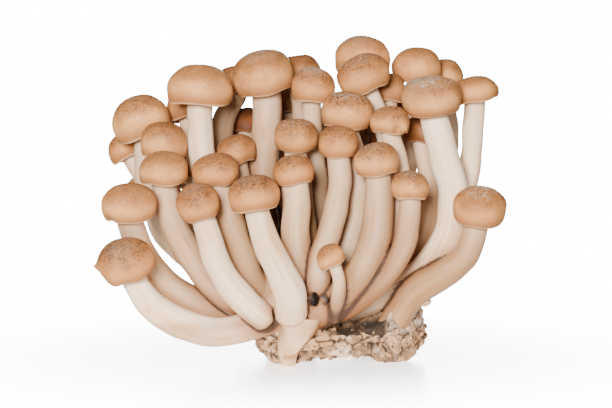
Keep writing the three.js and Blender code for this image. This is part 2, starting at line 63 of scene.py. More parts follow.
# Each mushroom is: cap [radius, height, fullness of the dome, share of the height at which it is
# widest], lean in degrees [right, forward], stem radii [foot, middle, top], and the stem's middle
# line from the foot to the cap's rim plane.
MUSHROOMS = [
    # Front rows, from left to right
    [[8.1, 10, 1.92, 0.4], [-12, 28], [3.8, 4.4, 3.2],
     [[-8, -14, 12.5], [-25.5, -18.5, 10], [-41.2, -23.5, 16.8], [-49.4, -26.8, 28.7]]],
    [[7.9, 10.6, 2.2, 0.45], [-2, 8], [4, 4.2, 3.7],
     [[-10, -4, 13.5], [-26.3, -8, 16.3], [-39.2, -13, 23.3], [-46.6, -17.4, 34.2],
      [-49.2, -23.4, 43.4]]],
    [[7.4, 8.9, 2.3, 0.34], [0, 8], [4, 4.3, 3.5],
     [[-10, -8, 12.5], [-21.8, -12, 20], [-31.8, -13.5, 31.5], [-37.7, -14.5, 42.5],
      [-39.8, -15, 53.8]]],
    [[6.45, 9.3, 2.1, 0.42], [-18, 20], [4.2, 4, 3.4],
     [[-11, -18.5, 14.5], [-16.2, -21, 19.5], [-22.4, -21.5, 27.5], [-26, -21.5, 37],
      [-28.4, -21.4, 44.8]]],
    [[6.7, 8.8, 2.2, 0.42], [-6, 10], [4, 4.1, 3.4],
     [[-8, -8, 13.5], [-14.4, -12, 24.5], [-18.2, -12.5, 35.5], [-21.5, -12, 45.5],
      [-24.4, -11.3, 53.3]]],
    [[7.4, 9.3, 2.15, 0.38], [-8, 10], [4.9, 4.3, 3.3],
     [[-2.6, -20.5, 15.9], [-3, -24.4, 22.5], [-6.5, -26.5, 30.5], [-10.2, -26.6, 38.3],
      [-12.7, -26.2, 47.2]]],
    [[6.1, 7.8, 2.3, 0.36], [-7, 8], [4.2, 4.3, 3.8],
     [[3, -11, 13.5], [1.2, -14.5, 27.5], [-1.1, -18.8, 38.5], [-1, -19, 46.5],
      [-1.5, -18.9, 54.1]]],
    [[6.6, 9, 2.4, 0.44], [0, 10], [3.8, 3.9, 3.3],
     [[3, -5, 13.5], [2.5, -7.5, 28.5], [0.9, -9, 43.5], [-0.6, -9, 54.5], [-1.2, -8.8, 63.1]]],
    [[5.8, 8.6, 2.4, 0.44], [0, 10], [3.6, 3.6, 3.4],
     [[6, -13, 14.5], [5.8, -20.5, 29.5], [9, -18.4, 40.5], [11.6, -17.4, 51.5],
      [11.3, -17, 61.7]]],
    [[6.7, 9.1, 2, 0.36], [-8, 8], [4.6, 5, 3.4],
     [[1, -14, 12.5], [11, -19, 19], [19.8, -21.5, 30.5], [22.8, -21.5, 42.5],
      [22.7, -20.8, 56.7]]],
    [[5.8, 7.6, 2.2, 0.34], [4, 6], [3.2, 3.1, 2.7],
     [[10, -7, 15.5], [23.5, -12, 30], [28.2, -13.5, 43.5], [29.3, -13.5, 56.5],
      [26.4, -12.3, 68.3]]],
    [[5.7, 7.4, 2.1, 0.3], [0, 8], [3.6, 3.4, 3],
     [[4, -15, 12.5], [16, -20, 19], [26, -23, 28.5], [30.8, -25.2, 38.5], [31.8, -25.4, 50.3]]],
    [[8.8, 10.3, 2.35, 0.43], [-5, 14], [4.4, 4.8, 4],
     [[12, -5, 14.5], [33, -10, 24], [43.5, -11.5, 36.5], [45.2, -10, 49.5], [42.2, -8.5, 62.5],
      [39.2, -7.2, 74.2]]],
    [[7.6, 10.4, 2.1, 0.46], [4, 18], [4.2, 4.4, 3.2],
     [[27, -9, 10.5], [33, -13.5, 20.5], [41, -17.5, 26.4], [48.1, -20.5, 32.5],
      [51.8, -20.6, 42.7]]],
    [[4.3, 5.9, 2, 0.32], [-30, 12], [2.4, 2.1, 1.8],
     [[9.8, -19.5, 14.6], [11, -24, 20], [11.4, -27.2, 26], [9.8, -28.2, 31.1]]],
    # Middle rows
    [[7.2, 10, 2.4, 0.38], [4, 8], [3.4, 3.4, 3],
     [[-11, -2, 15.5], [-26, -1.5, 27.5], [-36, -2.5, 43.5], [-40.5, -2.2, 54.5],
      [-40.8, -2.2, 60.9]]],
    [[9, 12.6, 2, 0.38], [-20, 5], [3.8, 3.6, 3.3],
     [[-13, 4, 15.5], [-34, 9, 29.5], [-43.5, 10.5, 43.5], [-47, 10.8, 56.5], [-46.8, 10.8, 66.5]]],
    [[9.6, 11.9, 2.2, 0.31], [2, 3], [4.2, 4.1, 3.8],
     [[-8, 2, 13.5], [-19, 1.5, 25.5], [-26.4, 0, 44.5], [-29.4, -1, 62.5], [-29.9, -1, 76.3]]],
    [[5.8, 8.5, 2.3, 0.4], [-14, 6], [3, 2.9, 2.4],
     [[-6, -3, 14.5], [-11, -4, 30.5], [-14.5, -3, 44.5], [-16.8, -1.5, 52.5],
      [-18.2, -0.4, 58.8]]],
    [[9.6, 12.6, 2.2, 0.41], [-12, 8], [4.6, 4.6, 4.4],
     [[-5, 3, 14.5], [-10.5, 4.5, 34.5], [-11.6, 5, 52.5], [-10, 5.2, 68], [-10.1, 5.4, 79.8]]],
    [[6.6, 10, 2.2, 0.33], [4, 6], [3.3, 3.1, 2.7],
     [[3, 2, 14.5], [5.5, 2, 29.5], [5.8, 1, 47], [3.8, 1, 65], [3.7, 1.2, 77.2]]],
    [[7.6, 10.3, 2.5, 0.45], [5, 6], [3.9, 3.8, 3.3],
     [[6, -6, 14.5], [12.5, -9.5, 31.5], [16.3, -9.5, 44.5], [16.8, -8, 57.5], [13.6, -6.6, 69.7]]],
    [[7.9, 10.6, 2.2, 0.42], [-20, 8], [3.4, 3.2, 2.8],
     [[7, 1, 14.5], [18, 2.5, 28.5], [26, 3.5, 48.5], [26.5, 4.8, 64.5], [20.5, 4.3, 80.6]]],
    [[4.9, 8.6, 2.2, 0.33], [3, 0], [3, 2.8, 2.4],
     [[9, 4, 15.5], [19, 9, 36.5], [24, 12.5, 56.5], [26.6, 13.5, 68.5], [27.2, 13.2, 76.7]]],
    [[5.6, 8.2, 2.2, 0.35], [2, 0], [3.4, 3.5, 2.8],
     [[14, -1, 14.5], [29, -3, 26.5], [37.5, -3, 38.5], [38.9, -0.5, 51.5], [36.6, 2.6, 64.8]]],
    [[7.6, 7.6, 2.2, 0.3], [-12, 2], [3.6, 3.3, 3.2],
     [[16, -1, 14.5], [36, 0, 26.5], [46.5, 1, 39.5], [50.6, 2, 54.5], [51.9, 3, 66.5],
      [52.5, 3.1, 76.9]]],
    [[6.2, 8.6, 2.1, 0.34], [-24, -5], [3.2, 3.2, 2.8],
     [[-12, 8, 15.5], [-27, 13, 24.5], [-38, 17, 37.5], [-47.2, 21, 50.5], [-52.2, 21.6, 59]]],
    # Behind, seen over the others or through the gaps
    [[6.6, 9, 2.2, 0.38], [-8, -8], [3.2, 3.2, 2.8],
     [[-9, 8, 15.5], [-20, 12, 31.5], [-29, 15, 51.5], [-33.3, 16.3, 64.5], [-34.3, 16.5, 71]]],
    [[6.6, 9.4, 2.2, 0.4], [-3, -6], [3.3, 4, 3],
     [[-5, 9, 15.5], [-13.5, 14, 36.5], [-22.9, 17, 58.5], [-23.8, 18.8, 69.5],
      [-19.4, 19.2, 78.3]]],
    [[6.8, 10.2, 2.2, 0.38], [0, -5], [3.3, 3.3, 2.9],
     [[2, 9, 15.5], [1, 13, 38.5], [0.5, 16.5, 60.5], [0.5, 17.8, 71.5], [-0.2, 18.3, 80.8]]],
    [[8.4, 11.5, 2.1, 0.4], [4, -6], [3.8, 3.7, 3.3],
     [[8, 9, 15.5], [13, 13, 38.5], [17, 16.5, 60.5], [18.5, 18.4, 73.5], [19, 18.7, 85.2]]],
    [[7.8, 10.9, 2.2, 0.42], [-3, 0], [3.6, 3.6, 3.1],
     [[13, 9, 15.5], [25, 15, 36.5], [33, 20, 58.5], [35.5, 21, 71.5], [36.2, 21, 82.3]]],
    [[6.3, 9.4, 2.2, 0.36], [8, -4], [3.2, 3.1, 2.7],
     [[16, 10, 15.5], [33, 20, 34.5], [44.5, 27, 52.5], [46.8, 30, 67], [44.6, 31, 80.3]]],
    [[6, 8.6, 2.2, 0.4], [-2, -15], [3.2, 3.2, 2.8],
     [[-2, 13, 15.5], [-8, 20, 36.5], [-14, 25, 53.5], [-16.9, 27.5, 65.9]]],
    # The far side
    [[7.2, 10, 2.2, 0.36], [-18, -16], [3.6, 3.6, 3.2],
     [[-12, 11, 15.5], [-29, 20, 24.5], [-42, 28.5, 33.5], [-47, 32.5, 44]]],
    [[7.8, 10.8, 2.3, 0.42], [-8, -18], [3.8, 3.8, 3.4],
     [[-8, 13, 15.5], [-20, 22, 27.5], [-29.5, 29, 40], [-32.8, 30.8, 50.5]]],
    [[7.5, 10.4, 2.2, 0.39], [0, -16], [3.7, 3.7, 3.3],
     [[-1, 14, 15.5], [-4.5, 23, 36.5], [-6, 30, 56.5], [-4, 32, 71.5]]],
    [[7, 9.8, 2.2, 0.44], [4, -12], [3.6, 3.5, 3.1],
     [[6, 14, 15.5], [13, 22, 34.5], [17.5, 28, 49.5], [18.8, 30, 60.5]]],
    [[7.6, 10.6, 2.25, 0.34], [8, -18], [3.7, 3.7, 3.3],
     [[12, 13, 15.5], [22, 22, 34.5], [29, 29, 54.5], [31, 31, 70.5]]],
    [[6.4, 9, 2.1, 0.36], [18, -10], [3.3, 3.2, 2.8],
     [[16, 8, 14.5], [33, 10, 26.5], [41, 12.5, 40.5], [44, 13, 50.5]]],
    [[7, 9.8, 2.1, 0.42], [-14, -26], [3.6, 3.6, 3.2],
     [[-9, 14, 13.5], [-20, 26, 19.5], [-29, 36, 28.5], [-32, 39.2, 37.5]]],
    [[7, 9.6, 2.2, 0.39], [-5, -24], [3.6, 3.6, 3.2],
     [[-3, 15, 14.5], [-9, 28, 24.5], [-13, 35, 38.5], [-14, 37, 49.5]]],
    [[6.4, 9, 2.2, 0.44], [3, -22], [3.4, 3.4, 3],
     [[4, 15, 14.5], [6, 28, 28.5], [8, 37, 49], [8.2, 38, 65.5]]],
    [[7, 9.6, 2.2, 0.34], [8, -24], [3.6, 3.6, 3.2],
     [[10, 14, 13.5], [19, 28, 22.5], [23, 36, 33.5], [23.5, 38.5, 44.5]]],
    [[7, 9.8, 2.1, 0.36], [16, -18], [3.5, 3.5, 3.1],
     [[16, 11, 13.5], [31, 23, 18.5], [40, 31, 25.5], [43, 34, 34.5]]],
    [[5.6, 8, 2, 0.42], [-12, -30], [3.2, 3.1, 2.7],
     [[-6, 15, 12.5], [-14, 27, 12], [-19, 36, 15.5], [-21, 40.5, 23.5]]],
    [[5.2, 7.6, 2, 0.39], [6, -30], [3, 2.9, 2.5],
     [[7, 16, 12.5], [12, 28, 13.5], [14, 35, 20.5], [14, 38, 29.5]]],
]

# Cap: shares of the radius and height that the solids have too, and the finer mesh's own counts
RIM_OPEN = 1.12
RIM_CLOSING = 0.7
GILL_INSET = 0.08
GILL_RISE = 0.08
CEILING = 0.2
NECK_INSET = 0.1
WAVES = [(2, 0.03), (3, 0.018)]
GOLDEN_ANGLE = 2.39996
CAP_SIDES = 84
DOME_RINGS = 17
LIP_RINGS = 7
GILL_RINGS = 5
GILL_DEPTH = 0.75

# Lumps and dents of single caps: cap, angle round the axis in degrees, height share, push in mm, width
CAP_MARKS = [
    (1, 184, 0.38, 1.3, 0.8),
    (1, 246, 0.05, 1.0, 2.0),
    (2, 222, 0.02, -1.3, 1.6),
    (11, 318, 0.22, 1.1, 1.2),
    (11, 290, 0.20, -1.2, 1.1),
    (10, 190, 0.05, -0.8, 1.5),
    (12, 250, 0.10, -0.5, 2.0),
]

# How strongly the top of each cap is mottled, and how pale its marbling is, where it stands out
MOTTLING = {1: 1.0, 4: 0.9, 5: 0.9, 6: 1.0, 7: 0.9, 8: 0.9, 9: 0.8, 10: 1.0, 11: 0.9, 12: 1.0,
            14: 0.5, 15: 0.7, 19: 0.8, 21: 0.9, 22: 0.9, 23: 0.8, 13: 0.5, 20: 0.5, 3: 0.4,
            18: 0.3, 2: 0.5}
MARBLING = {13: 0.4, 14: 0.35, 23: 0.3, 22: 0.4, 20: 0.3, 21: 0.3, 8: 0.2}

# Frosty or crackled patches of single caps: cap, angle, height share, width in mm, pale, dark
CAP_PATCHES = [
    (13, 165, 0.95, 4.6, 0.8, 0.8),
    (14, 90, 0.98, 3.0, 0.25, 0.2),
    (31, 200, 0.95, 4.6, 0.45, 0.0),
    (1, 250, 0.97, 3.4, 0.2, 0.9),
    (10, 215, 0.98, 3.2, 0.2, 1.0),
    (12, 240, 0.98, 2.6, 0.2, 0.8),
    (21, 200, 0.98, 3.2, 0.5, 0.7),
    (2, 40, 0.85, 4.5, 0.0, 0.5),
    (22, 150, 0.95, 3.5, 0.1, 0.5),
    (11, 150, 0.9, 3.0, 0.2, 0.6),
    (4, 230, 0.97, 3.0, 0.1, 0.6),
    (6, 230, 0.97, 3.6, 0.1, 0.6),
]

# How deep in shade the caps at the back lie, from 0 to 1
SHADED = {19: 0.2, 24: 0.35, 25: 0.8, 28: 0.4, 29: 0.45, 30: 0.5, 33: 0.15, 34: 0.95, 36: 0.7, 37: 0.8,
          38: 0.8, 39: 0.7, 40: 0.5, 43: 0.5}

# How creamy the stems in view are, from tan at 0 to cream at 1, partly own tone and partly painted shade
STEM_CREAM_AND_LIGHT = {1: 1.0, 2: 0.3, 3: 0.25, 4: 0.75, 5: 0.12, 6: 0.7, 7: 0.4, 8: 0.25, 9: 0.3, 10: 0.15,
         11: 0.45, 12: 0.12, 13: 0.9, 14: 0.08, 15: 0.4, 16: 0.35, 17: 0.4, 18: 0.7, 19: 0.2,
         20: 0.2, 21: 0.3, 22: 0.35, 23: 0.65, 25: 0.3, 26: 0.75}
STEM_CREAM_AND_LIGHT_ELSEWHERE = 0.32

# Foot where the stems fuse: level, middle and half widths of each ring
FOOT_RINGS = [
    (6, (-4, -3), (7, 8)),
    (9, (-4, -3.5), (11, 12)),
    (13, (-2, -3), (14.5, 16)),
    (18.5, (0.5, -1.5), (19, 17)),
    (25.5, (1.5, -0.5), (19, 15)),
    (31.5, (2, 0), (13, 10)),
]

# Two holes in the skin low between the front stems, sunk and painted with dark shade: middle and half widths
HOLES = [
    (np.array([3.8, -20.5, 19.8]), np.array([1.9, 12.0, 2.4])),
    (np.array([7.3, -20.5, 19.7]), np.array([1.3, 12.0, 2.3])),
]
HOLE_DEPTH = 1.6

# The spur: its route and radii as in the solids, then its rings and cut faces, the twist of those in
# radians, and how sharp their edges are, from round at 0
SPUR_ROUTE = [[1.8, -13.5, 14], [-0.5, -16.9, 9.5], [-3.2, -18.7, 4], [-3.2, -18.7, 0]]
SPUR_RADII = [9.5, 4.8, 1.7]
SPUR_STEPS = 40
SPUR_FACES = 5
SPUR_TWIST = 1.1
SPUR_SHARPNESS = 0.85

# Stems: how far their two ends run on, the finer mesh's own counts, and rounds of smoothing for the
# tan colour, which is partly painted shade, and for the creases where they fuse
END_REACH = 0.75
STEM_RUN_ON = 0.17
STEM_SIDES = 28
STEM_STEPS = 64
END_STEPS = 6
FOOT_SIDES = 72
FOOT_STEPS = 40
TAN_AND_SHADE_ROUNDS = 4
CREASE_ROUNDS = 5
CREASE_MELT = 0.6

# Floor: where it starts to fade and where it ends, and what the lights point at, in metres
FLOOR_FADES = (0.03, 0.15)
LIT_PLACE = (0, 0, 0.05)

# Growing medium: middle, half widths, waves of the outline, top and underside, and its feet
BLOCK_MIDDLE = (9.8, -1)
BLOCK_HALF = (26.3, 19)
BLOCK_HALF_HEIGHT = 6.5
BLOCK_WAVES = [(3, 0.05, 0.6), (5, 0.035, -1)]
BLOCK_TOP = 11.3
BLOCK_RISE = 4.5
RISE_FROM, RISE_TO = 6, 30
BLOCK_UNDERSIDE = 2.6
END_LIFT = 3.4
LIFT_FROM, LIFT_TO = -7, -16
FEET = [(28, -8), (-4, -10), (-4, 10), (24, 10)]
FLAT_REACH = 5.5
SLOPE_REACH = 10.5

# Slits in its front, sunk and painted with dark shade: middle and half widths
SLITS = [
    (np.array([-6.4, -19.0, 4.6]), np.array([0.6, 6.0, 2.6])),
    (np.array([-9.0, -17.0, 4.8]), np.array([0.7, 6.0, 2.2])),
    (np.array([21.5, -19.0, 5.5]), np.array([1.1, 6.0, 3.6])),
]

# Its broken chunks and the chips on them, as cells per millimetre
CHUNKS = Vector((0.2, 0.2, 0.28))
CHUNKS_FROM = Vector((3, 1, 7))
CHIPS = Vector((0.5, 0.5, 0.75))

# Without a seed of its own the noise starts from the clock
NOISE_SEED = 1

# The round nub at its right end, and the loose crumbs: how many to a square metre, how large in
# millimetres, and the corners that each has
NUB_MIDDLE = (36.9, -14.3, 18.4)
NUB_RADIUS = 1.6
CRUMB_DENSITY = 75000.0
CRUMB_SIZE = 0.85
CRUMB_SEED = 5
CRUMB_CORNERS = 12


def colour(red, green, blue):
    """A screen colour, 0 to 255, as the linear colour that shaders take."""
    linear = [c / 12.92 if c <= 0.04045 else ((c + 0.055) / 1.055) ** 2.4
              for c in (red / 255, green / 255, blue / 255)]
    return (*linear, 1.0)


class Field:
    """A value inside a node tree. Python's operators on it add Math nodes."""

    def __init__(self, tree, socket):
        self.tree = tree
        self.socket = socket

    def maths(self, operation, *values):
        return self.tree.node("ShaderNodeMath", {"operation": operation}, dict(enumerate(values)))

    def __add__(self, other):
        return self.maths("ADD", self, other)

    def __sub__(self, other):
        return self.maths("SUBTRACT", self, other)

    def __rsub__(self, other):
        return self.maths("SUBTRACT", other, self)

    def __mul__(self, other):
        return self.maths("MULTIPLY", self, other)

    __radd__ = __add__
    __rmul__ = __mul__

    def step(self, low, high):
        """0 below low, 1 above high and smooth between, also with low above high."""
        settings = {"interpolation_type": "SMOOTHSTEP"}
        ends = {1: min(low, high), 2: max(low, high), 3: float(low > high), 4: float(low < high)}
        return self.tree.node("ShaderNodeMapRange", settings, {0: self, **ends})


class Tree:
    """A node tree under construction, of a material or of geometry."""

    def __init__(self, tree):
        self.tree = tree

    def node(self, kind, settings=None, inputs=None, output=0):
        """Adds a node, gives it its settings, then values or links for its sockets."""
        node = self.tree.nodes.new(kind)
        for name, value in (settings or {}).items():
            setattr(node, name, value)
        for key, value in (inputs or {}).items():
            if isinstance(value, Field):
                self.tree.links.new(value.socket, node.inputs[key])
            else:
                node.inputs[key].default_value = value
        return Field(self, node.outputs[output])

    def attribute(self, name, output="Fac"):
        return self.node("ShaderNodeAttribute", {"attribute_name": name}, output=output)

    def noise(self, vector, scale, detail=3.0, roughness=0.5, distortion=0.0):
        return self.node("ShaderNodeTexNoise", None, {
            "Vector": vector, "Scale": scale, "Detail": detail, "Roughness": roughness,
            "Distortion": distortion})

    def cells(self, vector, scale, feature="F1"):
        return self.node("ShaderNodeTexVoronoi", {"feature": feature}, {
            "Vector": vector, "Scale": scale})

    def mix(self, share, first, second, blend="MIX"):
        settings = {"data_type": "RGBA", "blend_type": blend}
        return self.node("ShaderNodeMix", settings, {0: share, 6: first, 7: second}, output=2)

    def coats(self, base, *layers):
        """The base colour under layers, each of a share, a screen colour and perhaps a blend."""
        for share, shade, *blend in layers:
            base = self.mix(share, base, colour(*shade), *blend)
        return base

    def bump(self, height, distance, strength):
        return self.node("ShaderNodeBump", None, {
            "Height": height, "Distance": distance, "Strength": strength})


def finish(name, values, fields):
    """A material from the shader's own values and a function that gives what varies."""
    material = bpy.data.materials.new(name)
    material.use_nodes = True
    shader = material.node_tree.nodes["Principled BSDF"]
    for key, value in values.items():
        shader.inputs[key].default_value = value
    for key, field in fields(Tree(material.node_tree)).items():
        material.node_tree.links.new(field.socket, shader.inputs[key])
    return material


def cap_fields(tree):
    rise = tree.attribute("rise")
    under = tree.attribute("under")
    mottling = tree.attribute("mottling")
    skin = tree.attribute("skin", "Vector")
    cloud = tree.noise(skin, 150.0, 3.0, 0.55)
    grain = tree.noise(skin, 1300.0, 4.0, 0.62)
    pores = tree.noise(skin, 3600.0, 2.0, 0.5)
    patches = tree.noise(skin, 420.0, 3.0, 0.6).step(0.38, 0.6)
    pebbles = tree.cells(skin, 1500.0)
    spots = tree.cells(skin, 1900.0).step(0.34, 0.12) * patches
    crackle = tree.cells(skin, 720.0, "DISTANCE_TO_EDGE")
    crown = (rise + cloud * 0.5).step(0.62, 1.1)
    netted = (rise + cloud * 0.4).step(0.6, 1.1) * mottling * (patches * 0.6 + 0.4)
    freckles = (rise + cloud * 0.4).step(0.35, 0.9) * spots * mottling
    marbled = rise.step(0.75, 0.98) * crackle.step(0.14, 0.03) * patches * tree.attribute("marbling")
    tone = tree.attribute("tone").step(-1.0, 1.0)
    base = tree.coats(
        tree.mix(tone, colour(192, 130, 74), colour(206, 146, 88)),
        (cloud.step(0.35, 0.7) * 0.45, (164, 106, 56)),
        (grain.step(0.45, 0.72) * 0.4, (150, 92, 46)),
        (crown * 0.7, (128, 80, 42)),
        (netted * pebbles.step(0.3, 0.6) * 0.85, (74, 42, 24)),
        (netted * pebbles.step(0.22, 0.04) * 0.35, (190, 138, 90)),
        (freckles * 0.9, (72, 40, 24)),
        (tree.attribute("frost") * (grain.step(0.35, 0.6) * 0.75 + 0.1), (206, 174, 142)),
        (tree.attribute("scorch") * crackle.step(0.16, 0.02), (82, 58, 46)),
        (marbled, (226, 204, 180)),
        # Painted shade: the lower part of the dome is darker
        (rise.step(0.4, 0.06) * 0.75, (130, 82, 44)),
        (rise.step(0.07, 0.0) * 0.8, (228, 186, 140)))
    # Painted shade: darker in the grooves between the gills
    gill = tree.mix(tree.attribute("gill_groove_shade"), colour(236, 206, 168), colour(184, 140, 98))
    height = grain * 0.6 + pores * 0.4 + freckles * -0.9 + cloud * 0.8
    return {
        "Base Color": tree.coats(
            tree.mix(under, base, gill), (tree.attribute("shaded"), (140, 112, 96), "MULTIPLY")),
        "Roughness": grain * 0.2 + under * 0.3 + 0.45,
        "Normal": tree.bump(height, 0.00018, 0.5),
    }


def stem_fields(tree):
    along = tree.attribute("along")
    fibre = tree.attribute("fibre", "Vector")
    place = tree.node("ShaderNodeTexCoord", output="Object")
    threads = tree.noise(fibre, 1000.0, 4.0, 0.6)
    streaks = tree.noise(fibre, 300.0, 3.0, 0.55)
    cloud = tree.noise(place, 60.0, 3.0, 0.5)
    stain = tree.noise(place, 190.0, 4.0, 0.65)
    base = tree.coats(
        tree.mix(cloud.step(0.3, 0.7), colour(232, 200, 160), colour(247, 224, 196)),
        # Tan: partly the stems' own tone, partly painted shade on stems further back and on their undersides
        (tree.attribute("tan"), (150, 109, 68)),
        (streaks.step(0.42, 0.72) * 0.5, (228, 196, 160), "MULTIPLY"),
        (threads.step(0.5, 0.78) * 0.6, (206, 172, 136), "MULTIPLY"),
        (along.step(0.7, 1.0) * 0.35, (216, 182, 152)),
        (along.step(0.25, 0.0) * 0.15, (190, 148, 100)),
        (stain.step(0.55, 0.8) * streaks.step(0.4, 0.7) * 0.7, (214, 166, 118), "MULTIPLY"),
        # Painted shade: where stems crowd together, deep in the cluster and in the creases between them
        (tree.attribute("crowd_shade") * 0.75, (186, 150, 118), "MULTIPLY"),
        (tree.attribute("inner_shade") * 0.85, (146, 122, 104), "MULTIPLY"),
        (tree.attribute("crease_shade").step(0.1, 1.0) * 0.92, (48, 30, 20)),
        # Painted shade: the holes are painted near black
        (tree.attribute("hole_and_shade"), (22, 13, 9)))
    height = threads * 0.7 + streaks * 0.6 + tree.noise(place, 1800.0, 3.0, 0.6) * 0.25
    return {
        "Base Color": base,
        "Roughness": threads * 0.2 + 0.42,
        "Normal": tree.bump(height, 0.00018, 0.45),
    }


def medium_fields(tree):
    place = tree.node("ShaderNodeTexCoord", output="Object")
    coarse = tree.noise(place, 240.0, 4.0, 0.6, 0.8)
    fine = tree.noise(place, 900.0, 5.0, 0.7)
    shade = tree.attribute("shade").step(0.0, 0.9)
    base = tree.coats(
        tree.mix(shade, colour(94, 66, 44), colour(174, 135, 98)),
        (coarse.step(0.5, 0.64) * 0.55, (172, 122, 80)),
        (coarse.step(0.42, 0.3) * 0.55, (104, 74, 52)),
        (fine.step(0.56, 0.74) * 0.5, (70, 48, 34)),
        (fine.step(0.42, 0.27) * 0.55, (196, 164, 132)),
        (tree.attribute("white") * fine.step(0.8, 0.35), (214, 190, 168)),
        # Painted shade in the cracks, seams, slits and cavity; on the crumbs also their own dark ones
        (tree.attribute("pit_shade_and_dark_crumbs").step(0.2, 1.0) * 0.92, (26, 18, 13)))
    return {
        "Base Color": base,
        "Roughness": fine * 0.2 + 0.75,
        "Normal": tree.bump(coarse * 0.8 + fine * 0.7, 0.0006, 0.9),
    }


FLESH = {"Subsurface Weight": 0.18, "Subsurface Radius": (1.0, 0.72, 0.5)}
MATERIALS = {
    "cap_skin": finish("cap_skin", {
        **FLESH, "Subsurface Scale": 0.0007, "Specular IOR Level": 0.16}, cap_fields),
    "stem_flesh": finish("stem_flesh", {
        **FLESH, "Subsurface Scale": 0.0013, "Specular IOR Level": 0.2}, stem_fields),
    "growing_medium": finish("growing_medium", {"Specular IOR Level": 0.25}, medium_fields),
}


def ripple(points, size, seed, count=18):
    """Smooth random waves about size mm long at each point, from -1 to 1."""
    draw = np.random.default_rng(seed)
    ways = draw.normal(size=(count, 3))
    ways /= np.linalg.norm(ways, axis=1)[:, None]
    turns = 2 * math.pi / (size * draw.uniform(0.7, 1.5, count))
    phases = draw.uniform(0, 2 * math.pi, count)
    return np.sin(points @ (ways * turns[:, None]).T + phases).sum(axis=1) / math.sqrt(count / 2) / 2


def lean_direction(lean):
    right, forward = (math.tan(math.radians(angle)) for angle in lean)
    way = np.array([right, -forward, 1.0])
    return way / np.linalg.norm(way)


def route_points(points, steps):
    """Points along the curve through the given ones, evenly spaced, as for the solids."""
    given = np.array(points, float)
    ends = np.vstack([2 * given[0] - given[1], given, 2 * given[-1] - given[-2]])
    fine = []
    for span in range(len(given) - 1):
        a, b, c, d = ends[span:span + 4]
        for w in np.linspace(0, 1, 24, endpoint=False):
            fine.append(0.5 * (2 * b + (c - a) * w + (2 * a - 5 * b + 4 * c - d) * w ** 2
                               + (3 * b - a - 3 * c + d) * w ** 3))
    fine = np.array(fine + [given[-1]])
    lengths = np.concatenate([[0], np.cumsum(np.linalg.norm(np.diff(fine, axis=0), axis=1))])
    at = np.linspace(0, lengths[-1], steps)
    return np.stack([np.interp(at, lengths, fine[:, axis]) for axis in range(3)], axis=1)


def between(radii, share):
    start, middle, end = radii
    return (start * (1 - share) * (1 - 2 * share) + middle * 4 * share * (1 - share)
            + end * share * (2 * share - 1))


def add_object(name, data):
    thing = bpy.data.objects.new(name, data)
    bpy.context.scene.collection.objects.link(thing)
    return thing


def mesh_of(name, points, faces, material, fields=None):
    """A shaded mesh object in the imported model's frame from points in the routes' frame."""
    mesh = bpy.data.meshes.new(name)
    mesh.from_pydata(((points - MIDDLE) * METRES).tolist(), [], faces)
    mesh.validate()
    for key, values in (fields or {}).items():
        form, item = ("FLOAT_VECTOR", "vector") if values.ndim == 2 else ("FLOAT", "value")
        attribute = mesh.attributes.new(key, form, "POINT")
        attribute.data.foreach_set(item, values.astype(np.float32).ravel())
    mesh.shade_smooth()
    mesh.materials.append(MATERIALS[material])
    return add_object(name, mesh)


def dress(piece, material, *nodes):
    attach(piece, "root")
    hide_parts(*nodes)


def skin_faces(counts):
    """Faces of a closed skin over rings, between a first and a last point. A ring may have twice
    the points of the one before."""
    starts = (np.cumsum([1, *counts]))[:-1].tolist()
    last = 1 + sum(counts)
    faces = [(0, starts[0] + i, starts[0] + (i + 1) % counts[0]) for i in range(counts[0])]
    for k in range(len(counts) - 1):
        a, b = counts[k], counts[k + 1]
        for i in range(a):
            here, beside = starts[k] + i, starts[k] + (i + 1) % a
            if a == b:
                faces.append((here, starts[k + 1] + i, starts[k + 1] + (i + 1) % b, beside))
            else:
                middle = starts[k + 1] + 2 * i + 1
                faces.append((here, starts[k + 1] + 2 * i, middle))
                faces.append((here, middle, beside))
                faces.append((beside, middle, starts[k + 1] + (2 * i + 2) % b))
    faces += [(last, starts[-1] + (i + 1) % counts[-1], starts[-1] + i) for i in range(counts[-1])]
    return faces


def cap_profile(radius, height, fullness, widest, neck):
    """Rings of a cap from its top: radius, level, and 1 where gills stand."""
    rim = RIM_OPEN - RIM_CLOSING * widest
    gill_edge = rim - GILL_INSET
    bend = 2 / fullness
    rows = []
    for k in range(1, DOME_RINGS + 1):
        angle = math.pi / 2 * k / DOME_RINGS
        up = max(0.0, math.cos(angle)) ** bend
        rows.append((radius * math.sin(angle) ** bend, height * (widest + (1 - widest) * up), 0))
    for k in range(1, LIP_RINGS + 1):
        angle = math.pi / 2 * k / LIP_RINGS
        inward = radius * (1 - rim) * (1 - math.cos(angle))
        rows.append((radius - inward, height * widest * (1 - math.sin(angle)), 0))
    rows.append((radius * (rim + gill_edge) / 2, height * GILL_RISE * 0.25, 0))
    for k in range(GILL_RINGS + 1):
        share = k / GILL_RINGS
        across = radius * gill_edge * (1 - share) + neck * share
        rise = GILL_RISE + (CEILING - GILL_RISE) * math.sin(share * math.pi / 2)
        rows.append((across, height * rise, 1))
    return rows


def cap_spot(across, angle, level):
    """A place on a cap: how far out, at which angle in degrees and how high."""
    turn = math.radians(angle)
    return np.array([across * math.cos(turn), across * math.sin(turn), level])


